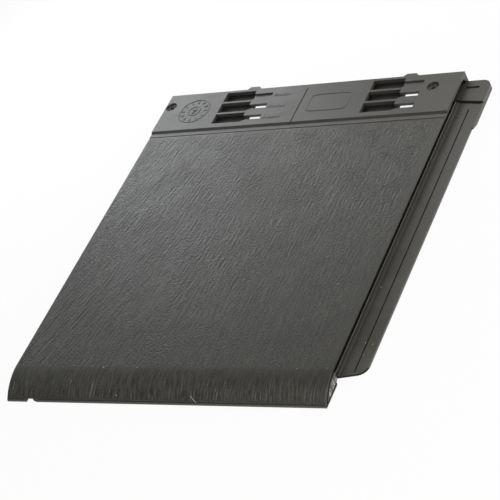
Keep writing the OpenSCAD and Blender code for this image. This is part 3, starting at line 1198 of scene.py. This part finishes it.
@dataclass(frozen=True)
class RaisedMarks:
    """Small raised marks on the head strip and flange: a month dial, gauge ticks, a blank field."""

    strip_height: float = 14.7
    flange_height: float = 4.0
    rise: float = 0.40
    sink: float = 0.12
    inset: float = 0.18
    dial_middle: Span = (-119.0, 354.0)
    dial_rings: Span = (16.0, 6.2)
    dial_width: float = 1.0
    dial_months: int = 12
    spoke_half: Span = (1.9, 0.45)
    spoke_inside: float = 3.4
    pointer: Tuple[Span, ...] = (
        (-1.0, -3.6), (1.0, -3.6), (1.0, 0.6), (2.3, 0.6), (0.0, 4.2), (-2.3, 0.6), (-1.0, 0.6)
    )
    pointer_turn: float = -0.35
    tick_rows: Tuple[float, ...] = (369.0, 352.8, 337.6)
    tick_from: float = -35.0
    tick_pitch: float = 3.2
    tick_count: int = 6
    tall_every: int = 3
    tick_half_width: float = 0.70
    tall_tick: float = 2.2
    short_tick: float = 1.4
    field_middle: Span = (28.5, 352.5)
    field_half: Span = (21.0, 11.5)
    field_width: float = 0.9
    bar_x: float = 161.4
    bar_rows: Tuple[float, ...] = (331.0, 335.0, 339.0)
    bar_half: Span = (1.4, 0.5)

    ROUND = 2.0
    BAR = 5.0
    BOX = 7.0
    BAR_POINTS = 20
    RING_POINTS = 96
    FIELD_POINTS = 160
    PLATE_LEVELS = (0.55, 0.88, 1.0)
    PLATE_INSETS = (0.0, 0.0, 0.35, 1.0)
    MOST_INSET = 0.8

    def ring(self, path: np.ndarray, width: float, height: float) -> Shell:
        """A low bead along a closed level path, counter-clockwise.

        Args:
            path: Points x, y in order.
            width: The bead's width.
            height: The level it stands on.

        Returns:
            The closed bead.
        """
        ahead = np.roll(path, -1, axis=0) - np.roll(path, 1, axis=0)
        ahead /= np.linalg.norm(ahead, axis=1, keepdims=True)
        level = np.full((len(path), 1), height)
        across = np.concatenate([ahead[:, 1:], -ahead[:, :1], 0 * level], axis=1)
        up = np.broadcast_to(np.array([0.0, 0.0, 1.0]), across.shape)
        points = np.concatenate([path, level], axis=1)
        return Shell.bead(points, across, up, (width, self.rise, self.sink), closed=True)

    def plate(self, outline: np.ndarray, height: float) -> Shell:
        """A low plate with a rounded top edge over a level outline.

        Rings of the outline rise from the sink to the top; the last two draw in towards the
        middle by the inset, and fans close both ends.

        Args:
            outline: Points x, y, counter-clockwise.
            height: The level it stands on.

        Returns:
            The closed plate.
        """
        middle = outline.mean(axis=0)
        away = outline - middle
        reach = np.linalg.norm(away, axis=1, keepdims=True)
        levels = np.array([-self.sink, *(share * self.rise for share in self.PLATE_LEVELS)])
        inset = np.array(self.PLATE_INSETS)[:, None, None] * self.inset
        rings = middle + away[None] * (1 - np.minimum(inset / reach[None], self.MOST_INSET))
        tops = np.broadcast_to((height + levels)[:, None, None], rings.shape[:2] + (1,))
        return Shell.grid(np.concatenate([rings, tops], axis=-1), wrap=True, caps=True)

    @staticmethod
    def rounded(half_x: float, half_y: float, power: float, count: int) -> np.ndarray:
        """A closed curve |x / half_x| ** power + |y / half_y| ** power = 1, counter-clockwise.

        Args:
            half_x: Half its size across.
            half_y: Half its size along.
            power: 2 for an ellipse, more for a squarer form.
            count: Number of points.

        Returns:
            Points x, y.
        """
        turn = np.linspace(0.0, math.tau, count, endpoint=False)
        unit = np.stack([np.cos(turn), np.sin(turn)], axis=-1)
        return np.array([half_x, half_y]) * np.sign(unit) * np.abs(unit) ** (2 / power)

    @staticmethod
    def turned(outline: np.ndarray, angle: float) -> np.ndarray:
        """An outline turned about the origin by an angle in radians."""
        cosine, sine = math.cos(angle), math.sin(angle)
        return outline @ np.array([[cosine, sine], [-sine, cosine]])

    def bars(self, places: Iterable[Span], halves: Iterable[Span], height: float) -> Shell:
        """Plain upright or lying bars.

        Args:
            places: Their middles.
            halves: Half their sizes across and along.
            height: The level they stand on.

        Returns:
            The bars as one.
        """
        outlines = (
            np.array(place) + self.rounded(*half, self.BAR, self.BAR_POINTS)
            for place, half in zip(places, halves)
        )
        return Shell.joined(self.plate(outline, height) for outline in outlines)

    def dial(self) -> Shell:
        """A month dial: two rings, twelve spokes between them and a pointer in the middle.

        Returns:
            The dial.
        """
        middle = np.array(self.dial_middle)
        rings = [
            self.ring(
                middle + self.rounded(radius, radius, self.ROUND, self.RING_POINTS),
                self.dial_width,
                self.strip_height,
            )
            for radius in self.dial_rings
        ]
        spoke = self.rounded(*self.spoke_half, self.BAR, self.BAR_POINTS)
        spoke = spoke + np.array([self.dial_rings[0] - self.spoke_inside, 0.0])
        turns = np.arange(self.dial_months) * math.tau / self.dial_months
        spokes = [self.plate(middle + self.turned(spoke, t), self.strip_height) for t in turns]
        arrow = middle + self.turned(np.array(self.pointer), self.pointer_turn)
        return Shell.joined(rings + spokes + [self.plate(arrow, self.strip_height)])

    def ticks(self) -> Shell:
        """Rows of plain gauge ticks beside the slots, every third one taller.

        Returns:
            The ticks.
        """
        tall = [
            self.short_tick if number % self.tall_every else self.tall_tick
            for number in range(self.tick_count)
        ]
        places = [
            (self.tick_from + number * self.tick_pitch, row + half - self.tall_tick)
            for row in self.tick_rows
            for number, half in enumerate(tall)
        ]
        halves = [(self.tick_half_width, half) for half in tall] * len(self.tick_rows)
        return self.bars(places, halves, self.strip_height)

    def field(self) -> Shell:
        """A blank marking field: a plain rounded frame."""
        path = self.rounded(*self.field_half, self.BOX, self.FIELD_POINTS)
        return self.ring(np.array(self.field_middle) + path, self.field_width, self.strip_height)

    def flange_bars(self) -> Shell:
        """Three plain bars at the head of the flange."""
        places = [(self.bar_x, row) for row in self.bar_rows]
        return self.bars(places, [self.bar_half] * len(places), self.flange_height)

    def build(self) -> Pieces:
        """Make the marks.

        Returns:
            The new pieces.
        """
        plastic = PlasticFinish("raised_mark_plastic", Moulding.MARK).material()
        shapes = {
            "month_dial": self.dial(),
            "gauge_ticks": self.ticks(),
            "blank_field": self.field(),
            "flange_bars": self.flange_bars(),
        }
        return [shell.piece(name, plastic) for name, shell in shapes.items()]


@dataclass(frozen=True)
class NoseTrim:
    """The smooth lip along the nose's lower edge and right end, with a dark bead inside it.

    The dark bead is painted shade of a groove.
    """

    form: FaceForm = FaceForm()
    left: float = -155.4
    right: float = 155.35
    notch: Span = (-136.6, -123.6)
    lip_from_tip: float = 0.62
    groove_from_tip: float = 1.50
    groove_inside: float = 0.95
    # painted shade: the tone of the dark bead in the groove
    groove_tone: float = 0.036
    top_run: float = 25.0
    step: float = 0.8
    lip: Spot = (0.95, 0.34, 0.25)
    groove: Spot = (0.75, 0.10, 0.25)

    def line(self, inside: float, from_tip: float, section: Spot) -> Shell:
        """A bead that follows the lower edge from the left, past the notch, and up the right end.

        Args:
            inside: Distance in from the right end.
            from_tip: Distance up from the lower edge.
            section: The bead's width, rise and sink.

        Returns:
            The beads on both sides of the notch.
        """
        run = self.form.nose_tip_run() + from_tip
        short = np.arange(self.left, self.notch[0], self.step)
        foot = np.arange(self.notch[1], self.right - inside, self.step)
        side = np.arange(run + self.step, self.top_run, self.step)
        x = np.concatenate([foot, np.full(len(side), self.right - inside)])
        long_run = np.concatenate([np.full(len(foot), run), side])
        return Shell.joined(
            [
                self.form.bead(short, np.full(len(short), run), 0.0 * short, section),
                self.form.bead(x, long_run, 0.0 * x, section),
            ]
        )

    def build(self) -> Pieces:
        """Make the lip and the groove.

        Returns:
            The new pieces.
        """
        plastic = PlasticFinish("nose_lip_plastic", Moulding.MARK).material()
        # painted shade: a dark bead where the groove lies in shadow
        shade = ShadeFinish("groove_painted_shade", self.groove_tone).material()
        lip = self.line(0.0, self.lip_from_tip, self.lip)
        groove = self.line(self.groove_inside, self.groove_from_tip, self.groove)
        return [lip.piece("nose_lip", plastic), groove.piece("nose_groove", shade)]


@dataclass(frozen=True)
class NoseEnd:
    """The nose's right end: the skin's cut edge and the torn-looking plate under it.

    The cut edge is a near-black sheet, painted shade.
    """

    form: FaceForm = FaceForm()
    skin: float = 2.8
    edge_x: float = 156.0
    edge_turns: Span = (0.03, 0.715)
    edge_insets: Span = (0.10, 2.75)
    # painted shade: the near-black tone of the cut edge
    edge_tone: float = 0.008
    edge_sink: float = 0.03
    edge_floor: float = 0.05
    bulge: float = 0.16
    plate_x: float = 155.2
    front: float = 4.6
    rear: float = 28.7
    rear_fade: float = 28.0
    foot: float = 0.95
    corner_from: float = 22.8
    corner_slope: float = 0.4
    least_height: float = 0.01
    tear: float = 0.34
    tear_span: Span = (-1.2, 1.4)
    tear_slant: float = 0.8
    blotch_share: float = 0.6
    plate_sink: float = 0.04
    foot_fade: Span = (0.0, 0.12)
    top_fade: Span = (1.0, 0.90)

    BULGE_POWER = 4
    EDGE_GRID = (60, 9)
    PLATE_GRID = (90, 40)
    TEARS = LatticeNoise(71, 0.55, 2.6)
    BLOTCHES = LatticeNoise(72, 1.4, 1.1)

    def arc(self, y: np.ndarray, inset: float) -> np.ndarray:
        """Height of the arc that runs inside the nose's face by an inset."""
        radius, middle = self.form.nose_radius - inset, self.form.height - self.form.nose_radius
        return middle + np.sqrt(radius**2 - (self.form.nose_run - y) ** 2)

    def edge(self) -> Shell:
        """The skin's cut edge: a band between two arcs that bulges out a little.

        Across the band the face goes out by a flat hump, and both borders sink into the edge.

        Returns:
            The band.
        """
        rows, columns = self.EDGE_GRID
        turn = np.linspace(*self.edge_turns, rows)[:, None]
        radius = self.form.nose_radius - np.linspace(*self.edge_insets, columns)[None, :]
        y = self.form.nose_run - radius * np.sin(turn)
        z = self.form.height - self.form.nose_radius + radius * np.cos(turn)
        side = np.linspace(-1.0, 1.0, columns)[None, :]
        x = self.edge_x + self.bulge * (1 - side**self.BULGE_POWER) - self.edge_sink
        z = np.maximum(z, self.edge_floor)
        return Shell.sheet(x[:, ::-1], y[:, ::-1], z[:, ::-1])

    def plate(self) -> Shell:
        """The plate under the skin, with torn, scuffed relief.

        Rows run back along y; columns run from the foot, or the sloping rear corner, up to the
        skin's inner arc. The relief is noise drawn out along a slant, and sinks at the borders.

        Returns:
            The plate's face.
        """
        rows, columns = self.PLATE_GRID
        y = np.linspace(self.front, self.rear, rows)[:, None]
        share = np.linspace(0.0, 1.0, columns)[None, :]
        low = np.maximum(self.foot, (y - self.corner_from) * self.corner_slope)
        high = np.maximum(self.arc(y, self.skin), low + self.least_height)
        z = low + (high - low) * share
        tear = self.TEARS(y + self.tear_slant * z, z)
        tear = tear + self.blotch_share * self.BLOTCHES(y + 0.0 * z, z)
        border = smooth(share, *self.foot_fade) * smooth(share, *self.top_fade)
        border = border * smooth(y, self.rear, self.rear_fade)
        rise = self.tear * smooth(tear, *self.tear_span) * border - self.plate_sink
        return Shell.sheet((self.plate_x + rise)[:, ::-1], y, z[:, ::-1])

    def build(self) -> Pieces:
        """Make the edge and the plate.

        Returns:
            The new pieces.
        """
        # painted shade: a near-black sheet on the skin's cut edge
        shade = ShadeFinish("nose_side_painted_shade", self.edge_tone).material()
        scuffs = ScuffFinish("scuffed_plastic").material()
        return [
            self.edge().piece("nose_side_edge", shade),
            self.plate().piece("nose_end_plate", scuffs),
        ]


@dataclass(frozen=True)
class SideEdges:
    """Sheets of another tone: painted shade and a painted highlight.

    The panel edge, the flange front and the slope up to the strip get darker sheets, painted
    shade; the top of the weather rib gets a pale line, a painted highlight.
    """

    form: FaceForm = FaceForm()
    off: float = 0.05
    # painted shade: the near-black tone of the panel edge and flange front
    side_tone: float = 0.008
    panel_from: float = 29.5
    panel_low: float = 11.45
    panel_top_gap: float = 0.1
    panel_head_gap: float = 1.0
    flange_start: float = 28.8
    flange_slant: float = 4.5
    flange_outer: float = 179.3
    flange_low: float = 2.05
    flange_high: float = 3.85
    corner: float = 10.0
    corner_end: float = -0.25
    slope_foot: Span = (325.4, 13.2)
    slope_head: Span = (327.8, 14.7)
    slope_part: Span = (0.02, 0.98)
    # painted shade: the darker tone of the slope up to the strip
    slope_tone: float = 0.053
    rib_span: Span = (153.0, 154.2)
    rib_run: Span = (30.0, 350.5)
    rib_top: float = 5.2
    rib_arch: float = 2.0
    # painted highlight: the pale tone of the line on the rib top
    rib_tone: float = 0.222
    even: float = 0.25

    BANDS = 5
    LENGTHS = 60
    PANEL_POINTS = 40
    FRONT_POINTS = 12
    CORNER_POINTS = 14

    def wall(self, path: np.ndarray, low: float, high: float) -> Shell:
        """An upright strip from low to high over a level path, facing the path's right."""
        return Shell.sheet(path[:, :1], path[:, 1:], np.linspace(high, low, self.BANDS))

    def slope(self) -> Shell:
        """A sheet on the slope between ledge and strip, a little outside the solid.

        Its darker tone is painted shade.

        Returns:
            The sheet.
        """
        foot, head = np.array(self.slope_foot), np.array(self.slope_head)
        along = (head - foot) / np.linalg.norm(head - foot)
        share = np.linspace(*self.slope_part, self.BANDS)[:, None]
        lifted = foot + share * (head - foot) + self.off * np.array([-along[1], along[0]])
        x = np.linspace(-1.0, 1.0, self.LENGTHS) * (self.form.half_width - self.off)
        return Shell.sheet(x, lifted[:, :1], lifted[:, 1:])

    def rib_line(self) -> Shell:
        """A low pale crown along the top of the weather rib, arched over its width.

        Its pale tone is a painted highlight.

        Returns:
            The crown.
        """
        arch = np.sin(math.pi * np.linspace(0.0, 1.0, self.BANDS))
        x = np.linspace(*self.rib_span, self.BANDS)
        y = np.linspace(*self.rib_run, self.LENGTHS)[:, None]
        return Shell.sheet(x, y, self.rib_top + self.off * (1 + self.rib_arch * arch))

    def flange_path(self) -> np.ndarray:
        """The flange's slanting front and round corner, a little outside the solid.

        Returns:
            Points x, y in order.
        """
        start = np.array([self.form.half_width, self.flange_start])
        lean = math.atan2(self.flange_slant, self.flange_outer - start[0])
        rise = self.corner * (1 / math.cos(lean) - math.tan(lean))
        corner_y = self.flange_start + self.flange_slant + rise
        middle = np.array([self.flange_outer - self.corner, corner_y])
        turn = np.linspace(lean - 0.5 * math.pi, self.corner_end, self.CORNER_POINTS)
        reach = self.corner + self.off
        arc = middle + reach * np.stack([np.cos(turn), np.sin(turn)], axis=-1)
        share = np.linspace(0.0, 1.0, self.FRONT_POINTS, endpoint=False)[:, None]
        first = start + self.off * np.array([math.sin(lean), -math.cos(lean)])
        return np.concatenate([first + share * (arc[0] - first), arc])

    def panel_path(self) -> np.ndarray:
        """The panel's right edge, a little outside the solid."""
        y = np.linspace(self.panel_from, self.form.head_y - self.panel_head_gap, self.PANEL_POINTS)
        return np.stack([np.full_like(y, self.form.half_width + self.off), y], axis=-1)

    def build(self) -> Pieces:
        """Make the strips.

        Returns:
            The new pieces.
        """
        # painted shade on the panel edge, the flange front and the slope
        side = ShadeFinish("side_painted_shade", self.side_tone).material()
        # painted highlight: a pale sheet on the rib top where it catches light
        highlight = ShadeFinish("rib_painted_highlight", self.rib_tone, self.even).material()
        sloped = ShadeFinish("slope_painted_shade", self.slope_tone, self.even).material()
        panel = self.wall(self.panel_path(), self.panel_low, self.form.height - self.panel_top_gap)
        flange = self.wall(self.flange_path(), self.flange_low, self.flange_high)
        return [
            panel.piece("panel_side_edge", side),
            flange.piece("flange_front_edge", side),
            self.rib_line().piece("rib_highlight_line", highlight),
            self.slope().piece("strip_slope", sloped),
        ]


@dataclass(frozen=True)
class Wear:
    """Dust specks that lie on the weather face and the flange, and a light scratch on the nose."""

    form: FaceForm = FaceForm()
    relief: SlateRelief = SlateRelief()
    seed: int = 81
    specks: Tuple[Spot, ...] = (
        (-62.6, 28.3, 0.58), (-28.2, 28.6, 0.52), (-94.5, 31.0, 0.40), (-75.0, 29.6, 0.36),
        (123.6, 28.6, 0.34), (133.6, 28.5, 0.30), (150.2, 29.3, 0.38), (125.4, 120.4, 0.50),
        (-119.7, 198.5, 0.44), (-26.6, 101.9, 0.36), (-41.6, 4.6, 0.50),
    )
    flange_specks: Tuple[Spot, ...] = (
        (167.4, 64.4, 0.48), (170.2, 51.7, 0.42), (174.2, 62.7, 0.45), (159.3, 125.0, 0.45),
    )
    flange_drop: float = -8.8
    speck_sides: int = 9
    speck_least: float = 0.75
    speck_spread: float = 0.5
    speck_height: float = 0.6
    scratch_from: Span = (30.7, 5.3)
    scratch_to: Span = (36.8, 0.9)
    scratch_wander: float = 0.15
    scratch_waves: float = 9.0
    scratch_points: int = 22
    burr: Spot = (0.50, 0.16, 0.20)

    def _grain(self, x: np.ndarray, run: np.ndarray) -> np.ndarray:
        """Height of the grain above the smooth face."""
        return self.relief.base + self.relief.height(x[None], run[None], self.form)[0]

    def dust(self) -> Shell:
        """The specks, each a small uneven dome on the grain or on the flange.

        Returns:
            The specks as one.
        """
        chance = np.random.default_rng(self.seed)
        places = np.array(self.specks + self.flange_specks)
        x, run = places[:, 0], self.form.run_at(places[:, 1])
        on_face = np.arange(len(places)) < len(self.specks)
        rise = np.where(on_face, self._grain(x, run), self.flange_drop)
        shells = []
        for at, radius in enumerate(places[:, 2]):
            wobble = self.speck_least + self.speck_spread * chance.random(self.speck_sides)
            height = self.speck_height * radius
            shells.append(self.form.dome(x[at], run[at], rise[at], radius * wobble, height))
        return Shell.joined(shells)

    def scratch(self) -> Shell:
        """A thin raised burr that wanders a little between its two ends.

        Returns:
            The burr.
        """
        share = np.linspace(0.0, 1.0, self.scratch_points)
        first, last = np.array(self.scratch_from), np.array(self.scratch_to)
        x, y = (first + share[:, None] * (last - first)).T
        x = x + self.scratch_wander * np.sin(self.scratch_waves * share) * (1 - share)
        run = self.form.run_at(y)
        return self.form.bead(x, run, self._grain(x, run), self.burr)

    def build(self) -> Pieces:
        """Make the dust and the scratch.

        Returns:
            The new pieces.
        """
        return [
            self.dust().piece("dust_specks", DustFinish("pale_dust").material()),
            self.scratch().piece("nose_scratch", DustFinish("scratch_burr").material()),
        ]


@dataclass(frozen=True)
class SmoothBody:
    """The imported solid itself, which keeps its form and gets the smooth moulded finish."""

    def dress(self, nodes: Mapping[str, bpy.types.Object]) -> None:
        """Put the finish on the solid's material slots.

        Args:
            nodes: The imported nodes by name.
        """
        plastic = PlasticFinish("smooth_moulded_plastic", Moulding.SMOOTH).material()
        solid = nodes[NODE]
        if not solid.material_slots:
            solid.data.materials.append(plastic)
        for place in solid.material_slots:
            place.material = plastic
        log.info("node %s: smooth moulded plastic", NODE)


@dataclass(frozen=True)
class Softbox:
    """A rectangular lamp that faces a point of the tile."""

    name: str
    place: Spot
    aim: Spot
    width: float
    height: float
    power: float
    colour: Spot = PLAIN

    def build(self) -> None:
        """Make the lamp, turned to its point and unseen by the camera."""
        lamp = bpy.data.lights.new(self.name, "AREA")
        lamp.shape = "RECTANGLE"
        lamp.size = self.width
        lamp.size_y = self.height
        lamp.energy = self.power
        lamp.color = self.colour
        made = bpy.data.objects.new(self.name, lamp)
        made.location = self.place
        ahead = Vector(self.aim) - Vector(self.place)
        made.rotation_euler = ahead.to_track_quat("-Z", "Y").to_euler()
        made.visible_camera = False
        bpy.context.scene.collection.objects.link(made)


@dataclass(frozen=True)
class Studio:
    """The white floor, the soft light and the photograph's camera."""

    floor_half: float = 6.0
    floor_lines: int = 9
    floor_level: float = -0.0004
    world_level: float = 0.02
    camera_place: Spot = (0.839997, -0.984261, 0.934872)
    camera_up: Spot = (0.026110, 0.705699, 0.708031)
    camera_ahead: Spot = (-0.529400, 0.610560, -0.589027)
    camera_reach: float = 50.0
    lens: float = 132.672
    sensor: float = 36.0
    lamps: Tuple[Softbox, ...] = (
        Softbox("high_front_softbox", (0.2, -0.6, 1.2), (0.0, -0.05, 0.0), 0.6, 0.6, 6.3, WARM),
        Softbox("front_softbox", (0.0, -1.2, 0.6), (0.0, 0.0, 0.0), 0.7, 0.5, 2.3, WARM),
        Softbox("right_softbox", (0.9, -0.55, 0.25), (0.1, 0.0, 0.0), 0.5, 0.4, 4.78, WARM),
        Softbox("back_right_softbox", (0.8, 0.8, 0.4), (0.1, 0.0, 0.0), 0.5, 0.5, 7.5, WARM),
        Softbox("left_softbox", (-0.9, 0.0, 0.5), (0.0, 0.0, 0.0), 0.6, 0.6, 0.63, COOL),
        Softbox("near_back_card", (0.05, 0.5, 0.45), (0.0, 0.05, 0.0), 0.4, 0.3, 0.61),
        Softbox("head_card", (-0.08, 0.34, 0.20), (-0.02, 0.05, 0.0), 0.3, 0.15, 0.13),
        Softbox("back_left_card", (-0.38, 0.44, 0.18), (-0.08, 0.08, 0.0), 0.3, 0.2, 0.84, COOL),
        Softbox("near_left_card", (-0.36, 0.16, 0.18), (-0.15, 0.02, 0.0), 0.3, 0.15, 0.24, COOL),
    )

    def build(self) -> None:
        """Set up floor, light, world and camera."""
        self._floor()
        for lamp in self.lamps:
            lamp.build()
        self._world()
        self._camera()
        bpy.context.scene.view_settings.view_transform = "Standard"

    def _floor(self) -> None:
        """A level white sheet under the tile, as a grid of a few quads."""
        line = np.linspace(-self.floor_half, self.floor_half, self.floor_lines)
        shell = Shell.sheet(line, line[:, None], np.array(self.floor_level))
        mesh = bpy.data.meshes.new("studio_floor")
        mesh.from_pydata(shell.points.tolist(), [], shell.quads.tolist())
        mesh.materials.append(FloorFinish("white_floor").material())
        floor = bpy.data.objects.new("studio_floor", mesh)
        bpy.context.scene.collection.objects.link(floor)
        log.info("stage studio_floor")

    def _world(self) -> None:
        """White to the camera, and an even pale light to the tile."""
        world = bpy.data.worlds.new("pale_room")
        recipe = Recipe(world)
        seen = recipe.node("ShaderNodeLightPath", out="Is Camera Ray")
        light = {"Color": WHITE, "Strength": self.world_level}
        room = recipe.node("ShaderNodeBackground", None, light)
        white = recipe.node("ShaderNodeBackground", None, {"Color": WHITE})
        recipe.surface(recipe.node("ShaderNodeMixShader", None, {0: seen, 1: room, 2: white}))
        bpy.context.scene.world = world

    def _camera(self) -> None:
        """The photograph's camera, from its place, its up direction and where it looks."""
        data = bpy.data.cameras.new("photo_camera")
        data.lens = self.lens
        data.sensor_width = self.sensor
        data.clip_end = self.camera_reach
        made = bpy.data.objects.new("photo_camera", data)
        ahead = Vector(self.camera_ahead).normalized()
        right = ahead.cross(Vector(self.camera_up)).normalized()
        axes = Matrix((right, right.cross(ahead), -ahead)).transposed().to_4x4()
        made.matrix_world = Matrix.Translation(self.camera_place) @ axes
        bpy.context.scene.collection.objects.link(made)
        bpy.context.scene.camera = made


def main() -> None:
    """Build the tile's pieces in order, then the studio."""
    logging.basicConfig(level=logging.INFO, format="%(name)s %(message)s")
    SmoothBody().dress(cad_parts)
    groups = (WeatherFace(), NoseTrim(), NoseEnd(), SideEdges(), RaisedMarks(), Wear())
    pieces = [piece for group in groups for piece in group.build()]
    log.info("%d pieces on %s", len(pieces), BODY)
    Studio().build()


if __name__ == "__main__":
    main()
